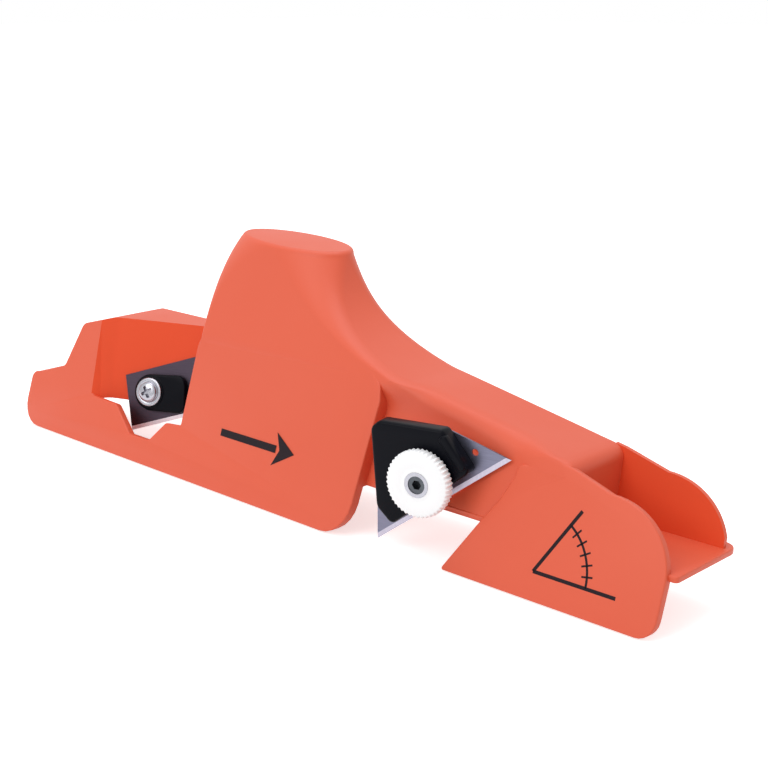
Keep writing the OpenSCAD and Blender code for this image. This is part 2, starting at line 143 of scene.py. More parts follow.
def handle_rings(z, cuts=14, spans=40):
    """Rings round the handle at heights z: quarter ellipses at the corners, straight spans between.

    Each corner's semi-axes grow with a power of z/height, so the section turns from a
    rectangle at the sole into an ellipse at the palm face, which tilts down to the front.
    """
    z = z[:, None]
    u = np.clip(z / handle_h, 0, 1)
    rim = np.clip((z - handle_h + palm_r) / palm_r, 0, 1)
    inset = palm_r * (1 - np.sqrt(1 - rim ** 2))
    x0 = handle_rear + u ** 3 * (palm_mid - palm_a - handle_rear) + inset
    x1 = ridge_x(z) - inset
    y0 = side_near(z) + setback * (1 - shoulder(z)) - 2.2 * u ** 4 + inset
    y1 = side_far(z) + 0.8 * u ** 4 - inset
    half_x, half_y = (x1 - x0) / 2, (y1 - y0) / 2
    turn = np.linspace(0, np.pi / 2, cuts + 1)[None, :]
    step = np.linspace(0, 1, spans + 1)[None, 1:-1]
    corners = []
    for quarter in range(4):
        front, far = quarter in (0, 3), quarter < 2
        rx = np.minimum(half_x, (2.2 if front else 1.2) + (palm_a - 1.2) * u ** (3 if front else 6))
        ry = np.minimum(half_y, 1.2 + half_y * u ** (3 if front else 6))
        angle = turn + quarter * np.pi / 2
        x = (x1 - rx if front else x0 + rx) + rx * np.cos(angle)
        y = (y1 - ry if far else y0 + ry) + ry * np.sin(angle)
        corners.append((x, y))
    xs, ys = [], []
    for quarter, (x, y) in enumerate(corners):
        after_x, after_y = (c[:, :1] for c in corners[(quarter + 1) % 4])
        xs += [x, x[:, -1:] + (after_x - x[:, -1:]) * step]
        ys += [y, y[:, -1:] + (after_y - y[:, -1:]) * step]
    x, y = np.hstack(xs), np.hstack(ys)
    y = y + (brow(x, z) - bulge(x, z)) * np.clip((y1 - y) / (y1 - y0), 0, 1)
    return np.stack([x, y, z + palm_fall * (palm_mid - x) * u ** 6], axis=2)


def skin(rings):
    """Closed surface through rings of equal count (m, n, 3): quads between rings, an n-gon on each end."""
    rows, cols = rings.shape[:2]
    here = (np.arange(rows - 1)[:, None] * cols + np.arange(cols)[None, :]).ravel()
    side = (np.arange(rows - 1)[:, None] * cols + (np.arange(cols) + 1)[None, :] % cols).ravel()
    quads = np.stack([here, side, side + cols, here + cols], axis=1).tolist()
    caps = [list(range(cols))[::-1], list(range((rows - 1) * cols, rows * cols))]
    return rings.reshape(-1, 3), quads + caps


def mesh_piece(name, points, faces, sharp=32.0, merge=1e-3):
    """A mesh object at the origin from points in millimetres, doubles merged, normals outwards."""
    mesh = bpy.data.meshes.new(name)
    mesh.from_pydata((np.asarray(points, float)).tolist(), [], faces)
    work = bmesh.new()
    work.from_mesh(mesh)
    bmesh.ops.remove_doubles(work, verts=work.verts, dist=merge)
    bmesh.ops.recalc_face_normals(work, faces=work.faces)
    bmesh.ops.scale(work, vec=(0.001, 0.001, 0.001), verts=work.verts)
    work.to_mesh(mesh)
    work.free()
    piece = bpy.data.objects.new(name, mesh)
    bpy.context.scene.collection.objects.link(piece)
    soften(mesh, sharp)
    return piece


def soften(mesh, sharp):
    """Smooth shading with creases kept where faces meet at more than sharp degrees."""
    mesh.polygons.foreach_set("use_smooth", np.ones(len(mesh.polygons), bool))
    mesh.set_sharp_from_angle(angle=np.radians(sharp))


def offset_outline(outline, inset):
    """The outline moved inwards: each point slides along the mean of its edges' normals."""
    before, after = np.roll(outline, 1, axis=0), np.roll(outline, -1, axis=0)
    unit = [d / np.maximum(np.linalg.norm(d, axis=1, keepdims=True), 1e-9)
            for d in (outline - before, after - outline)]
    normals = [np.stack([-d[:, 1], d[:, 0]], axis=1) for d in unit]
    mean = normals[0] + normals[1]
    scale = 2 / np.maximum((mean ** 2).sum(axis=1, keepdims=True), 1.0)
    return outline + inset * mean * scale


def plate(outline, low, high, rim_low=0.35, rim_high=0.6, cuts=4):
    """A plate from an anticlockwise outline, its rims rounded by quarter circles of offset outlines."""
    outline = np.asarray(outline, float)
    turn = np.linspace(0, np.pi / 2, cuts + 1)
    profile = [(rim_low * (1 - np.sin(a)), low + rim_low * (1 - np.cos(a))) for a in turn]
    profile += [(rim_high * (1 - np.cos(a)), high - rim_high * (1 - np.sin(a))) for a in turn]
    rings = [np.column_stack([offset_outline(outline, inset), np.full(len(outline), z)])
             for inset, z in profile]
    return skin(np.array(rings))


def rounded(corners, cuts=6):
    """Outline with each corner (x, y, r) turned into an arc of radius r tangent to both sides."""
    corners = np.array(corners, float)
    points = []
    for i, (x, y, r) in enumerate(corners):
        p = np.array([x, y])
        a, b = corners[i - 1, :2] - p, corners[(i + 1) % len(corners), :2] - p
        a, b = a / np.linalg.norm(a), b / np.linalg.norm(b)
        half = np.arccos(np.clip(a @ b, -1, 1)) / 2
        if r <= 0 or half > np.pi / 2 - 0.02:
            points.append(p)
            continue
        reach = r / np.tan(half)
        centre = p + (a + b) / np.linalg.norm(a + b) * r / np.sin(half)
        start, end = p + a * reach - centre, p + b * reach - centre
        first = np.arctan2(start[1], start[0])
        sweep = (np.arctan2(end[1], end[0]) - first + np.pi) % (2 * np.pi) - np.pi
        angles = first + sweep * np.linspace(0, 1, cuts + 1)
        points += list(centre + r * np.column_stack([np.cos(angles), np.sin(angles)]))
    return np.array(points)


def on_wall(points):
    """Fence plane to part frame: x along the body, y up the wall, z outwards."""
    c, s = np.cos(wall_lean), np.sin(wall_lean)
    x, w, out = np.asarray(points, float).T
    return np.column_stack([x, near_y + s * w - c * out, c * w + s * out])


def joined(name, shells, cutters=()):
    """Exact union of closed shells, less the cutters, as one new piece."""
    base = mesh_piece(name, *shells[0])
    helpers = []
    for kind, group in (("UNION", shells[1:]), ("DIFFERENCE", cutters)):
        for points, faces in group:
            helper = mesh_piece(name + "_tool", points, faces)
            helpers.append(helper)
            step = base.modifiers.new("step", "BOOLEAN")
            step.operation, step.object, step.solver = kind, helper, "EXACT"
    bpy.context.view_layer.update()
    result = bpy.data.meshes.new_from_object(
        base.evaluated_get(bpy.context.evaluated_depsgraph_get()))
    base.modifiers.clear()
    base.data = result
    for helper in helpers:
        bpy.data.objects.remove(helper, do_unlink=True)
    work = bmesh.new()
    work.from_mesh(result)
    bmesh.ops.remove_doubles(work, verts=work.verts, dist=2e-6)
    bmesh.ops.recalc_face_normals(work, faces=work.faces)
    work.to_mesh(result)
    work.free()
    soften(result, 24)
    return base


def leaning_prism(corners, low, high):
    """Prism whose side edges lean: each corner is (x, y, x per z, y per z)."""
    c = np.array(corners, float)
    levels = np.linspace(low, high, 2)[:, None, None]
    plan = c[None, :, :2] + c[None, :, 2:] * levels
    return skin(np.concatenate([plan, np.broadcast_to(levels, plan.shape[:2] + (1,))], axis=2))


def nose(height):
    """Outline of a pocket wall's front: a falling line that turns down in a quarter ellipse."""
    a = np.radians(np.linspace(0, 90, 25))
    x = front_end - 24.4 + 24.4 * np.cos(a)
    z = np.minimum((shelf_end - 3.3) * np.sin(a) - 1, shelf_end - 0.215 * (x - pocket_x))
    return np.column_stack([x, height * z])


top_w = block_h / np.cos(wall_lean)
near_slope, far_slope = np.tan(wall_lean), np.tan(far_lean)
panel_edge = [(panel_front - 3.4, foot_w, 13), (panel_front, panel_h - 8, 0),
              (panel_front - 1.5, panel_h - 2.5, 0), (panel_front - 6, panel_h + 1.5, 0),
              (panel_front - 17, panel_h + 6.5, 0), (panel_front - 26, panel_h + 10.5, 0),
              (handle_rear + 4, panel_h + 10.5, 2), (handle_rear, panel_h - 5, 0)]
fence = rounded([(rear_end, foot_w, 11)] + panel_edge + [
    (handle_rear, sole_w - 1, 1.0), (window_x + 50.7, sole_w - 1.8, 2.5),
    (window_x + 42.5, notch_w, 1.5), (window_x + 30, notch_w, 1.5),
    (window_x + 17.5, sole_w - 0.6, 3), (window_x, sole_w, 3), (window_x - 1.9, 20, 3),
    (window_x - 3.4, top_w - 1.6, 1.5), (rear_end + 29, top_w - 4.6, 4), (rear_end + 22.1, 10.8, 3),
    (rear_end + 7, 5.6, 6), (rear_end, 4.6, 3.5)])
front_panel = rounded([(80.5, foot_w, 0.8), (front_end - 1.7, foot_w, 6.2)]
                      + [(x - 1.6, w, 0) for x, w in nose(0.98 / np.cos(wall_lean))]
                      + [(pocket_x, 25.4, 0), (116.5, 26.6, 2), (112, 23, 2), (102.6, 22.6, 3),
                         (102.1, 18, 6), (98.1, 9.5, 6), (93.1, sole_w, 2)])
fence_points, fence_faces = plate(fence, -wall_t, 0)
panel_points, panel_faces = plate(front_panel, -wall_t, 0)
ramp = np.clip((fence_points[:, 0] - handle_rear) / (panel_front - handle_rear), 0, 1)
sink = np.clip((fence_points[:, 1] - panel_h - 2) / 8.5, 0, 1) * 0.5
fence_points[:, 2] += (panel_proud * ramp - sink) * (fence_points[:, 2] > -wall_t / 2)
for flat in (fence_points, panel_points):
    low = 1 - np.clip((flat[:, 1] - foot_w) / 14, 0, 1)
    flat[:, 1] -= np.tan(wall_lean) * flat[:, 2] * low

levels = np.concatenate([np.linspace(0.4, 17, 8), np.linspace(18, handle_h - palm_r, 100),
                         handle_h - palm_r + palm_r * np.sin(np.radians(np.arange(8, 89, 8)))])
rings = handle_rings(levels)
centre = rings[-1].mean(axis=0)
domes = [centre + (rings[-1] - centre) * s + [0, 0, 0.35 * (1 - s * s)]
         for s in (0.985, 0.9, 0.75, 0.55, 0.3, 0.05)]
handle = skin(np.concatenate([rings, np.array(domes)]))

low_at, low_yaw, low_lean = np.array([-96.58, -2.87, 4.8]), np.radians(20), np.radians(14)
slope = np.tan(low_lean) * np.array([-np.sin(low_yaw), np.cos(low_yaw)])
seat_foot = low_at[:2] - slope * low_at[2]


def seat_y(x):
    """The low cutter's seat wall at the sole: a line at the seat's yaw through its foot."""
    return seat_foot[1] + (x - seat_foot[0]) * np.tan(low_yaw)


sole_rear, corner_x, block_end = -161.5, window_x + 5.5, handle_rear + wall_t
block_points, block_faces = leaning_prism(
    [(sole_rear, near_y, 0, near_slope), (window_x + 0.4, near_y, -0.115, near_slope),
     (corner_x, seat_y(corner_x), 0, slope[1] - slope[0] * np.tan(low_yaw)),
     (block_end, seat_y(block_end), *slope),
     (block_end, far_y, 0, far_slope), (sole_rear, far_y, 0, far_slope)], 0.35, block_h)
profile = rounded([(sole_rear - 0.1, -1, 0), (block_end + 1, -1, 0), (block_end + 1, block_h, 0),
                   (window_x + 1.5, block_h, 1.5), (rear_end + 29, block_h - 4.4, 4),
                   (rear_end + 22.1, 10.2, 3), (rear_end + 7, 5.3, 6), (sole_rear - 0.1, 4.6, 1)])


def standing(outline, y0, y1):
    """A prism from an outline in x and z, run along y from y0 to y1."""
    outline = np.asarray(outline, float)
    return skin(np.array([np.column_stack([outline[:, 0], np.full(len(outline), y), outline[:, 1]])
                          for y in (y1, y0)]))


def crossed(first, second):
    """Exact intersection of two closed shells, given back as points in millimetres and faces."""
    piece, tool = mesh_piece("cross", *first), mesh_piece("cross_tool", *second)
    step = piece.modifiers.new("step", "BOOLEAN")
    step.operation, step.object, step.solver = "INTERSECT", tool, "EXACT"
    bpy.context.view_layer.update()
    mesh = bpy.data.meshes.new_from_object(
        piece.evaluated_get(bpy.context.evaluated_depsgraph_get()))
    points = np.array([v.co for v in mesh.vertices]) * 1000
    faces = [list(p.vertices) for p in mesh.polygons]
    for done in (piece, tool):
        bpy.data.objects.remove(done, do_unlink=True)
    return points, faces


block = crossed((block_points, block_faces), standing(profile, -60, 60))
far_wall = crossed(
    leaning_prism([(pocket_x - 4, far_y - 1.5, 0, far_slope), (front_end - 1, far_y - 1.5, 0, far_slope),
                   (front_end - 1, far_y + 0.04, 0, far_slope), (pocket_x - 4, far_y + 0.04, 0, far_slope)],
                  0, 40),
    standing([(pocket_x - 5, 0.2)] + [p for p in nose(1).tolist() if p[1] > 0.2]
             + [(pocket_x, shelf_end - 0.05), (pocket_x - 5, shelf_end + 5 * shelf_fall - 0.05)], -60, 60))
edge_y = near_y + setback + 0.3
open_y = slope * (sole_t + 0.5)
sole = rounded([(sole_rear, edge_y, 0), (window_x + open_y[0], edge_y, 0),
                (window_x + open_y[0], near_y + wall_t + open_y[1], 0),
                (corner_x + open_y[0], seat_y(corner_x) + open_y[1], 1),
                (handle_rear + 1, seat_y(handle_rear + 1) + open_y[1], 0),
                (handle_rear + 1, edge_y, 0), (166, edge_y, 1.5), (166, 19, 5), (sole_rear, 19, 5)])

steep_at, steep_yaw = np.array([72.2, -17.89, 11.91]), np.radians(14.1)


def on_steep(points):
    """Steep seat to part frame: x along the seat, y up, z outwards, origin on the bolt."""
    a, b, out = np.asarray(points, float).T
    c, s = np.cos(steep_yaw), np.sin(steep_yaw)
    return steep_at + np.column_stack([c * a + s * out, s * a - c * out, b])


def on_low(points):
    """Low seat to part frame: the same, leaning back by the seat's lean."""
    a, b, out = np.asarray(points, float).T
    c, s = np.cos(low_yaw), np.sin(low_yaw)
    up, away = np.sin(low_lean) * b - np.cos(low_lean) * out, np.cos(low_lean) * b + np.sin(low_lean) * out
    return low_at + np.column_stack([c * a - s * up, s * a + c * up, away])


def disc(radius, low, high, count=64):
    """A plain closed cylinder about z."""
    a = np.linspace(0, 2 * np.pi, count, endpoint=False)
    return skin(np.array([np.column_stack([radius * np.cos(a), radius * np.sin(a), np.full(count, z)])
                          for z in (low, high)]))


def placed(where, shell):
    """A shell's points moved to a seat."""
    return where(shell[0]), shell[1]


pad = crossed(placed(on_steep, plate([(-17, -6), (-10, -11.5), (0, -11.5), (9, -5), (20, 6),
                                      (7, 12), (-17, 12)], -16, 0)),
              standing([(30, 0), (120, 0), (120, 30), (30, 30)], -60, 40))
# Below the sole the middle panel keeps one thickness, so its hidden side follows its front
inner = [(x, near_y + 3.6 / np.cos(wall_lean) - out / np.cos(wall_lean))
         for x, out in ((handle_rear, 0), (panel_front + 8, panel_proud * 1.0777))]
hidden = skin(np.array([[(x, y + near_slope * -30, -30), (x, y - near_slope * 0.02, -0.02), (x, 40, -0.02),
                         (x, 40, -30)] for x, y in inner]))
cover_rear, cover_front, cover_near, cover_far = -50, 112, -9, 8
cover_box = leaning_prism([(cover_rear, cover_near, 0, 0), (cover_front, cover_near, 0, 0),
                           (cover_front, cover_far, 0, 0), (cover_rear, cover_far, 0, 0)], -1, sole_t)
bolt_r, screw_r, insert_r = 3.25, 2.65, 3.35
moulding = joined(
    "moulding",
    [plate(sole, 0, sole_t, 0.3, 0.4), handle, (on_wall(fence_points), fence_faces),
     (on_wall(panel_points), panel_faces), block, far_wall, pad],
    [cover_box, hidden, placed(on_low, disc(insert_r, -5.4, 20)),
     placed(on_steep, disc(bolt_r, -14.4, 20))])
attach(moulding, "plane")
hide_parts("body")


def socket_group(name, inputs, outputs):
    """A shader node group with named float or colour sockets, and its two end nodes."""
    group = bpy.data.node_groups.new(name, "ShaderNodeTree")
    for label, kind, value in inputs:
        made = group.interface.new_socket(label, in_out="INPUT", socket_type=kind)
        if value is not None:
            made.default_value = value
    for label, kind in outputs:
        group.interface.new_socket(label, in_out="OUTPUT", socket_type=kind)
    return group, group.nodes.new("NodeGroupInput"), group.nodes.new("NodeGroupOutput")


def wire(tree, *pairs):
    """Links output sockets to input sockets, pair by pair."""
    for out, into in pairs:
        tree.links.new(out, into)


# Moulded grain: a fine cloudy pattern that shifts colour and roughness a little and lifts
# the surface by a few hundredths of a millimetre, as etched mould steel does.
grain, g_in, g_out = socket_group(
    "moulded_grain",
    [("Colour", "NodeSocketColor", None), ("Deep", "NodeSocketColor", None),
     ("Size", "NodeSocketFloat", 900.0), ("Roughness", "NodeSocketFloat", 0.4),
     ("Lift", "NodeSocketFloat", 0.1)],
    [("Colour", "NodeSocketColor"), ("Roughness", "NodeSocketFloat"), ("Normal", "NodeSocketVector")])
nodes = grain.nodes
where = nodes.new("ShaderNodeTexCoord")
fine, cloud = nodes.new("ShaderNodeTexNoise"), nodes.new("ShaderNodeTexNoise")
fine.inputs["Detail"].default_value = 3
cloud.inputs["Scale"].default_value = 26
cloud.inputs["Detail"].default_value = 4
blend = nodes.new("ShaderNodeMix")
blend.data_type = "RGBA"
patch = nodes.new("ShaderNodeMapRange")
patch.inputs["From Min"].default_value, patch.inputs["From Max"].default_value = 0.35, 0.75
patch.inputs["To Max"].default_value = 0.35
shift = nodes.new("ShaderNodeMath")
shift.operation, shift.inputs[1].default_value = "MULTIPLY_ADD", 0.16
bump = nodes.new("ShaderNodeBump")
bump.inputs["Distance"].default_value = 0.0001
wire(grain, (where.outputs["Object"], fine.inputs["Vector"]),
     (where.outputs["Object"], cloud.inputs["Vector"]), (g_in.outputs["Size"], fine.inputs["Scale"]),
     (cloud.outputs["Fac"], patch.inputs["Value"]), (patch.outputs["Result"], blend.inputs["Factor"]),
     (g_in.outputs["Colour"], blend.inputs["A"]), (g_in.outputs["Deep"], blend.inputs["B"]),
     (blend.outputs["Result"], g_out.inputs["Colour"]), (cloud.outputs["Fac"], shift.inputs[0]),
     (g_in.outputs["Roughness"], shift.inputs[2]), (shift.outputs["Value"], g_out.inputs["Roughness"]),
     (g_in.outputs["Lift"], bump.inputs["Strength"]), (fine.outputs["Fac"], bump.inputs["Height"]),
     (bump.outputs["Normal"], g_out.inputs["Normal"]))


def moulded(name, colour, deep, size, roughness, lift, specular=0.5):
    """A moulded plastic: the grain group drives colour, roughness and normal."""
    material = bpy.data.materials.new(name)
    material.use_nodes = True
    tree = material.node_tree
    shader = tree.nodes["Principled BSDF"]
    shader.inputs["Specular IOR Level"].default_value = specular
    use = tree.nodes.new("ShaderNodeGroup")
    use.node_tree = grain
    for label, value in (("Colour", (*colour, 1)), ("Deep", (*deep, 1)), ("Size", size),
                         ("Roughness", roughness), ("Lift", lift)):
        use.inputs[label].default_value = value
    wire(tree, (use.outputs["Colour"], shader.inputs["Base Color"]),
         (use.outputs["Roughness"], shader.inputs["Roughness"]),
         (use.outputs["Normal"], shader.inputs["Normal"]))
    return material


orange = moulded("orange_abs", (0.70, 0.098, 0.040), (0.68, 0.090, 0.035), 1100, 0.40, 0.12)
# The second orange is painted shade, deeper and with weaker specular, for hollow walls that lose their
# sheen
recess = moulded("orange_recess_painted_shade", (0.765, 0.080, 0.024), (0.74, 0.072, 0.020), 1100, 0.5, 0.12, 0.2)
moulding.data.materials.clear()
moulding.data.materials.append(orange)
moulding.data.materials.append(recess)
# The walls inside the low cutter's window and the pocket's far wall get painted shade: a deeper orange with
# less specular
for face in moulding.data.polygons:
    x, y, z = face.center * 1000
    inside = window_x - 0.3 < x < handle_rear - 1 and sole_t + 0.2 < z < block_h - 0.2
    behind = y - side_near(z) > 0.6 and face.normal.y < 0.35 and abs(face.normal.z) < 0.75
    pocket = pocket_x < x < front_end and y > 6 and z > sole_t + 0.2 and face.normal.y < -0.8
    face.material_index = int((inside and behind) or pocket)


def dress(node, material):
    """Gives a CAD node's material slots a finish."""
    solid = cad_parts[node]
    if not solid.material_slots:
        solid.data.materials.append(material)
    for place in solid.material_slots:
        place.material = material


# Sole cover: a flat moulded strip let into the sole under the hollow handle, held by four
# countersunk screws.
dress("sole_cover", orange)

# ---------------------------------------------------------------------------------------
# Metal finishes: bright zinc on the screws, turned brass for the insert, and ground steel
# for the blades, whose grinding marks run across the edge.
ground, m_in, m_out = socket_group(
    "ground_metal",
    [("Colour", "NodeSocketColor", None), ("Deep", "NodeSocketColor", None),
     ("Along", "NodeSocketVector", None), ("Roughness", "NodeSocketFloat", 0.3),
     ("Lift", "NodeSocketFloat", 0.1)],
    [("Colour", "NodeSocketColor"), ("Roughness", "NodeSocketFloat"), ("Normal", "NodeSocketVector")])
nodes = ground.nodes
where = nodes.new("ShaderNodeTexCoord")
stretch = nodes.new("ShaderNodeVectorMath")
stretch.operation = "MULTIPLY"
lines = nodes.new("ShaderNodeTexNoise")
lines.inputs["Scale"].default_value = 1
lines.inputs["Detail"].default_value = 3
blend = nodes.new("ShaderNodeMix")
blend.data_type = "RGBA"
shift = nodes.new("ShaderNodeMath")
shift.operation, shift.inputs[1].default_value = "MULTIPLY_ADD", 0.18
bump = nodes.new("ShaderNodeBump")
bump.inputs["Distance"].default_value = 0.00005
wire(ground, (where.outputs["Object"], stretch.inputs[0]), (m_in.outputs["Along"], stretch.inputs[1]),
     (stretch.outputs["Vector"], lines.inputs["Vector"]), (lines.outputs["Fac"], blend.inputs["Factor"]),
     (m_in.outputs["Colour"], blend.inputs["A"]), (m_in.outputs["Deep"], blend.inputs["B"]),
     (blend.outputs["Result"], m_out.inputs["Colour"]), (lines.outputs["Fac"], shift.inputs[0]),
     (m_in.outputs["Roughness"], shift.inputs[2]), (shift.outputs["Value"], m_out.inputs["Roughness"]),
     (m_in.outputs["Lift"], bump.inputs["Strength"]), (lines.outputs["Fac"], bump.inputs["Height"]),
     (bump.outputs["Normal"], m_out.inputs["Normal"]))


def metal(name, colour, deep, along, roughness, lift):
    """A metal: the ground_metal group drives colour, roughness and normal."""
    material = bpy.data.materials.new(name)
    material.use_nodes = True
    tree = material.node_tree
    shader = tree.nodes["Principled BSDF"]
    shader.inputs["Metallic"].default_value = 1
    use = tree.nodes.new("ShaderNodeGroup")
    use.node_tree = ground
    for label, value in (("Colour", (*colour, 1)), ("Deep", (*deep, 1)), ("Along", along),
                         ("Roughness", roughness), ("Lift", lift)):
        use.inputs[label].default_value = value
    wire(tree, (use.outputs["Colour"], shader.inputs["Base Color"]),
         (use.outputs["Roughness"], shader.inputs["Roughness"]),
         (use.outputs["Normal"], shader.inputs["Normal"]))
    return material


zinc = metal("bright_zinc", (0.46, 0.46, 0.50), (0.36, 0.36, 0.40), (900, 900, 900), 0.16, 0.1)
brass = metal("turned_brass", (0.62, 0.46, 0.20), (0.52, 0.37, 0.15), (800, 800, 800), 0.25, 0.1)
dull = metal("oiled_steel", (0.075, 0.057, 0.078), (0.057, 0.044, 0.060), (180, 180, 2600), 0.34, 0.25)
bright = metal("polished_bevel", (0.86, 0.85, 0.90), (0.78, 0.77, 0.83), (2200, 400, 400), 0.45, 0.2)
steel = metal("blade_steel", (0.20, 0.20, 0.27), (0.15, 0.15, 0.21), (180, 180, 2600), 0.28, 0.25)
honed = metal("honed_bevel", (0.52, 0.50, 0.59), (0.42, 0.40, 0.48), (2200, 400, 400), 0.34, 0.2)
blackened = metal("blackened_steel", (0.10, 0.11, 0.12), (0.07, 0.075, 0.085), (900, 900, 900), 0.22, 0.15)
for node in ("cover_screws", "knob_washer", "thumb_nut_bush"):
    dress(node, zinc)
dress("steep_bolt", blackened)
dress("low_insert", brass)

# ---------------------------------------------------------------------------------------
# Blades: hardened steel strips ground to an edge along one side. The steep one is a common
# trapezoid blade with a hole for the bolt and two small ones, the low one has nearly square ends.
blade_t, bevel_w = 0.65, 1.6


def blade(name, length, width, lip, thick, bevel, origin, climb, where, holes):
    """A blade as a six-sided section run along its edge, its ends drawn in by lip at the back."""
    section = [(0, thick / 2 - 0.03), (bevel, 0), (width, 0), (width, thick), (bevel, thick),
               (0, thick / 2 + 0.03)]
    v, z = np.array(section, float).T
    ends = [np.column_stack([end, v, z]) for end in (lip * v / width, length - lip * v / width)]
    points, faces = skin(np.array(ends))
    c, s = np.cos(climb), np.sin(climb)
    points = points @ np.array([[c, s, 0], [-s, c, 0], [0, 0, 1]]) + [*origin, 0]
    piece = joined(name, [(where(points), faces)],
                   [placed(where, (p[0] + [x, y, 0], p[1])) for x, y, r in holes
                    for p in [disc(r, -1, 2, 40)]])
    for face in piece.data.polygons:
        face.use_smooth = False
    piece.data.materials.clear()
    piece.data.materials.append(steel)
    piece.data.materials.append(honed)
    # The ground strip is the faces tilted between the edge and the flat
    flat = (where(np.array([[0, 0, 1.0]])) - where(np.array([[0, 0, 0.0]])))[0]
    for face in piece.data.polygons:
        tilt = abs(face.normal @ Vector(flat))
        face.material_index = int(0.9 < tilt < 0.9995)
    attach(piece, "plane")
    return piece


steep_blade = blade("steep_blade_ground", 61, 19, 14, blade_t, bevel_w, (-20.8, -26.2),
                    np.radians(36.2), on_steep, [(0, 0, bolt_r), (15.6, 10.5, 1.2), (-14.8, -12.5, 1.2)])
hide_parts("steep_blade")
low_blade = blade("low_blade_ground", 40, 23.2, 2, blade_t, bevel_w, (-8.53, -16.97), np.radians(18.4),
                  on_low, [(0, 0, screw_r)])
low_blade.data.materials[0], low_blade.data.materials[1] = dull, bright
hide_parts("low_blade")

# ---------------------------------------------------------------------------------------
# Clamps: black glass-filled plastic shoes that press the blades on their seats. The steep
# one has a rib along its front edge, the low one a round boss about its screw.
black = moulded("black_nylon", (0.003, 0.0035, 0.006), (0.005, 0.005, 0.009), 1500, 0.20, 0.16, 0.07)
lift, clamp_t, low_clamp_t, shoe_turn = 0.7, 5.8, 2.5, np.radians(4)
shoe = rounded([(-12.4, -17.9, 2.2), (16.4, 5.2, 2.2), (6.3, 18, 2.2), (-17.2, 18, 3.5),
                (-20.4, 15.2, 3), (-18.2, -12.4, 4)])
rib = rounded([(15.4, 6.6, 1.2), (7.4, 16.9, 1.2), (5.0, 15.1, 1.2), (13.0, 4.8, 1.2)])
steep_clamp = joined("steep_clamp_shoe",
                     [placed(on_steep, plate(shoe, lift, lift + clamp_t, 0.3, 1.2)),
                      placed(on_steep, plate(rib, lift + 4, lift + 6.6, 0.1, 0.7))],
                     [placed(on_steep, disc(bolt_r, -1, 20))])
low_shoe = rounded([(-4, -7.6, 3.5), (16.6, -8.6, 3.5), (16.6, 7.2, 4.5), (-4, 7.4, 3.5)])
turned = np.array([[np.cos(shoe_turn), np.sin(shoe_turn)], [-np.sin(shoe_turn), np.cos(shoe_turn)]])
round_a = np.linspace(0, 2 * np.pi, 72, endpoint=False)
ring = np.column_stack([np.cos(round_a), np.sin(round_a)])
low_clamp = joined("low_clamp_shoe",
                   [placed(on_low, plate(low_shoe @ turned, lift, lift + low_clamp_t, 0.2, 0.7)),
                    placed(on_low, plate(ring * 7.4, lift, lift + low_clamp_t + 0.1, 0.2, 0.6)),
                    placed(on_low, plate(ring * 6.6, lift, lift + low_clamp_t + 0.5, 0.2, 0.3))],
                   [placed(on_low, disc(screw_r, -1, 20))])
for piece, body in ((steep_clamp, "steep_clamp"), (low_clamp, "low_clamp")):
    piece.data.materials.clear()
    piece.data.materials.append(black)
    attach(piece, body)
    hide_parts(body)

# ---------------------------------------------------------------------------------------
# Thumb nut: a white moulded wheel with 45 ribs round its rim, over a threaded metal bush.
knob_low, knob_t, knob_r, bore_r, ribs, rib_depth = 7.4, 4.6, 11.6, 4.3, 45, 0.55
angle = np.linspace(0, 2 * np.pi, ribs * 10, endpoint=False)
# Rim: inset from the outer radius, height from the nearer face, and share of the ribs' depth
edge = [(1.2, 0.0, 0), (0.7, 0.15, 0.4), (0.3, 0.5, 0.9), (0.0, 1.0, 1)]
outer = [(bore_r, 0.0, 0), (bore_r + 0.3, 0.0, 0)]
outer += [(knob_r - inset, height, share) for inset, height, share in edge]
outer += [(knob_r - inset, knob_t - height, share) for inset, height, share in edge[::-1]]
# Top face: a shallow ring round the bush, with its rims broken
outer += [(6.4, knob_t, 0), (6.1, knob_t - 0.1, 0), (5.0, knob_t - 0.1, 0), (4.75, knob_t, 0),
          (bore_r + 0.15, knob_t, 0), (bore_r, knob_t - 0.15, 0)]
wheel = []
for radius, height, ribbed in outer:
    # The radius falls by rib_depth between ribs, as a raised cosine of the angle
    r = radius - ribbed * rib_depth * (0.5 - 0.5 * np.cos(ribs * angle)) ** 0.8
    wheel.append(np.column_stack([r * np.cos(angle), r * np.sin(angle),
                                  np.full(len(angle), knob_low + height)]))
wheel.append(wheel[0])
wheel = np.array(wheel)
points, faces = skin(wheel)
thumb_nut = mesh_piece("thumb_nut_wheel", on_steep(points), faces[:-2], sharp=40)
ivory = moulded("white_acetal", (0.95, 0.955, 0.955), (0.92, 0.925, 0.93), 1300, 0.24, 0.06)
thumb_nut.data.materials.append(ivory)
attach(thumb_nut, "thumb_nut")
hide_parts("thumb_nut")

# ---------------------------------------------------------------------------------------
# Low screw: a zinc-plated screw with a cross recess in a domed head on a wide flange.
flange_low, flange_top, flange_r, head_h, head_r = 3.75, 4.45, 5.9, 1.8, 4.13
cross_turn, cross_depth = 0.5, 1.5
radii = np.concatenate([np.linspace(0.02, 2.9, 40), np.linspace(3.0, head_r, 18)])
a, r = np.meshgrid(np.linspace(0, 2 * np.pi, 160, endpoint=False), radii)
x, y = r * np.cos(a), r * np.sin(a)
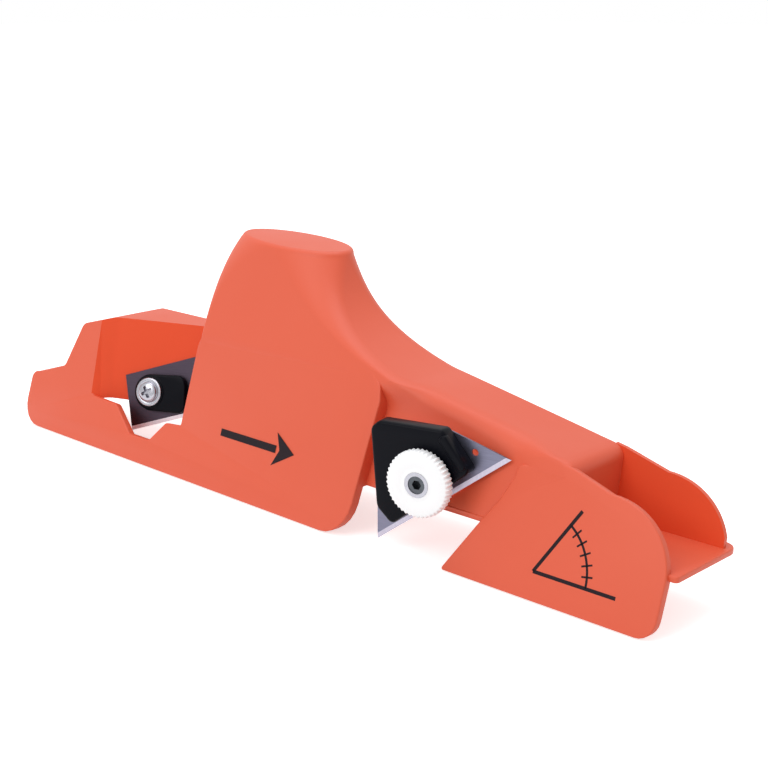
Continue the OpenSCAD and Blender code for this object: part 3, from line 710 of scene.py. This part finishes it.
# Head: an ellipse of power 2.4; the recess is a cross whose arms narrow and rise outwards
dome = flange_top + head_h * (0.3 + 0.7 * (1 - np.clip(r / head_r, 0, 1) ** 2.4) ** (1 / 2.4))
turn_x = x * np.cos(cross_turn) + y * np.sin(cross_turn)
turn_y = y * np.cos(cross_turn) - x * np.sin(cross_turn)
arm = np.minimum(np.abs(turn_x), np.abs(turn_y))
reach = np.maximum(np.abs(turn_x), np.abs(turn_y))
depth = cross_depth * ease((0.7 - arm) / 0.25) * ease((2.7 - reach) / 0.8)
top_rows = np.stack([x, y, dome - depth], axis=2)
a = a[0]
rim = [np.column_stack([q * np.cos(a), q * np.sin(a), np.full(len(a), z)])
       for q, z in ((head_r, flange_top), (4.3, flange_top - 0.12), (4.6, flange_top - 0.02),
                    (5.5, flange_top), (5.75, flange_top - 0.08), (flange_r, flange_top - 0.25),
                    (flange_r, flange_low + 0.1), (5.8, flange_low), (2.4, flange_low), (2.4, -7.6),
                    (2.0, -8.0))]
points, faces = skin(np.concatenate([top_rows, np.array(rim)]))
low_screw = mesh_piece("low_screw_cross_head", on_low(points), faces, sharp=50)
low_screw.data.materials.append(zinc)
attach(low_screw, "low_screw")
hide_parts("low_screw")

# ---------------------------------------------------------------------------------------
# Marks: dark pad-printed signs on the fence, an arrow for the way of cut on the middle panel
# and a plain angle sign on the front panel. Each is a film of ink a few hundredths thick.
ink = moulded("dark_ink", (0.012, 0.007, 0.010), (0.020, 0.011, 0.014), 2500, 0.5, 0.3, 0.15)


def stroke(x0, w0, x1, w1, width):
    """A straight stroke as a rectangle of the given width, with its ends square."""
    p, q = np.array([x0, w0]), np.array([x1, w1])
    side = np.array([p[1] - q[1], q[0] - p[0]])
    side = side / np.linalg.norm(side) * width / 2
    return np.array([p + side, p - side, q - side, q + side])


def printed(name, outlines, proud):
    """Strokes laid on the fence plane, lifted by proud(x) where the panel stands proud."""
    points, faces = [], []
    for outline in outlines:
        shell, sides = plate(outline, -0.05, 0.04, 0.01, 0.01, 1)
        shell[:, 2] += proud(shell[:, 0])
        faces += [[i + len(points) for i in face] for face in sides]
        points += on_wall(shell).tolist()
    piece = mesh_piece(name, points, faces, merge=1e-5)
    piece.data.materials.append(ink)
    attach(piece, "plane")
    return piece


def panel_out(x):
    """How far the middle panel's face stands out at x."""
    return panel_proud * np.clip((x - handle_rear) / (panel_front - handle_rear), 0, 1)


arrow = [stroke(-36, 3.6, -4, 3.6, 2.8), np.array([(-5, -2.6), (6, 3.6), (-5, 9.8), (-2, 3.6)])]
printed("cut_arrow", arrow, panel_out)
# The sign is an open angle: two legs from one corner, an arc between them, and a short tick
# across the arc at every ten degrees
corner, leg, arc_r, slant = np.array([117.0, -9.0]), 31.0, 20.0, np.radians(60)


def on_arc(r, turn):
    """The point at distance r from the corner, turned up from the lower leg."""
    return corner + r * np.array([np.cos(turn), np.sin(turn)])


turns = np.linspace(0, slant, 13)
sign = [stroke(*corner, *on_arc(leg, 0), 1.2), stroke(*corner, *on_arc(leg - 5, slant), 1.2)]
sign += [stroke(*on_arc(arc_r, p), *on_arc(arc_r, q), 0.8) for p, q in zip(turns[:-1], turns[1:])]
sign += [stroke(*on_arc(arc_r - 2, turn), *on_arc(arc_r + 2, turn), 0.6) for turn in turns[2:-1:2]]
printed("angle_sign", sign, lambda x: 0 * x)

# ---------------------------------------------------------------------------------------
# Room: a plain white floor under soft white light from all round. Both are white to the eye and
# in gloss and glass, and lower in what they shed on the tool.


def seen_rays(tree):
    """1 for camera, glossy and transmission rays, 0 for the rest: the greatest of the three masks."""
    path = tree.nodes.new("ShaderNodeLightPath")
    first, second = (tree.nodes.new("ShaderNodeMath") for _ in range(2))
    first.operation = second.operation = "MAXIMUM"
    wire(tree, (path.outputs["Is Camera Ray"], first.inputs[0]),
         (path.outputs["Is Glossy Ray"], first.inputs[1]), (first.outputs["Value"], second.inputs[0]),
         (path.outputs["Is Transmission Ray"], second.inputs[1]))
    return second.outputs["Value"]


floor = bpy.data.objects.new("floor", bpy.data.meshes.new("floor"))
side, low = 6.0, solid_box[0][2] - 0.0004
floor.data.from_pydata([(-side, -side, low), (side, -side, low), (side, side, low), (-side, side, low)],
                       [], [(0, 1, 2, 3)])
bpy.context.scene.collection.objects.link(floor)
paper = bpy.data.materials.new("white_floor")
paper.use_nodes = True
tree = paper.node_tree
shader = tree.nodes["Principled BSDF"]
shader.inputs["Base Color"].default_value = (0.86, 0.86, 0.86, 1)
shader.inputs["Roughness"].default_value = 0.9
shader.inputs["Specular IOR Level"].default_value = 0.1
shader.inputs["Emission Color"].default_value = (1, 1, 1, 1)
glow = tree.nodes.new("ShaderNodeMath")
glow.operation, glow.inputs[1].default_value = "MULTIPLY", 0.62
wire(tree, (seen_rays(tree), glow.inputs[0]), (glow.outputs["Value"], shader.inputs["Emission Strength"]))
floor.data.materials.append(paper)

world = bpy.data.worlds.new("soft_white")
bpy.context.scene.world = world
world.use_nodes = True
tree = world.node_tree
sky = tree.nodes["Background"]
level = tree.nodes.new("ShaderNodeMapRange")
level.inputs["To Min"].default_value, level.inputs["To Max"].default_value = 0.68, 1.0
sky.inputs["Color"].default_value = (1, 1, 1, 1)
wire(tree, (seen_rays(tree), level.inputs["Value"]), (level.outputs["Result"], sky.inputs["Strength"]))


def lamp(name, place, aim, power, size, tint=(1, 1, 1)):
    """A square soft lamp at place, turned to aim."""
    light = bpy.data.lights.new(name, "AREA")
    light.energy, light.size, light.color = power, size, tint
    holder = bpy.data.objects.new(name, light)
    place, aim = Vector(place), Vector(aim)
    turn_to = (place - aim).to_track_quat("Z", "Y").to_matrix().to_4x4()
    holder.matrix_world = Matrix.Translation(place) @ turn_to
    bpy.context.scene.collection.objects.link(holder)


lamp("key", (-0.1, -1.2, 0.85), (0, 0, 0.03), 6.1, 0.9)
lamp("top", (-0.2, 0.1, 1.5), (0, 0, 0.03), 9.3, 1.2, (0.98, 0.99, 1.06))

bpy.context.scene.view_settings.view_transform = "Standard"
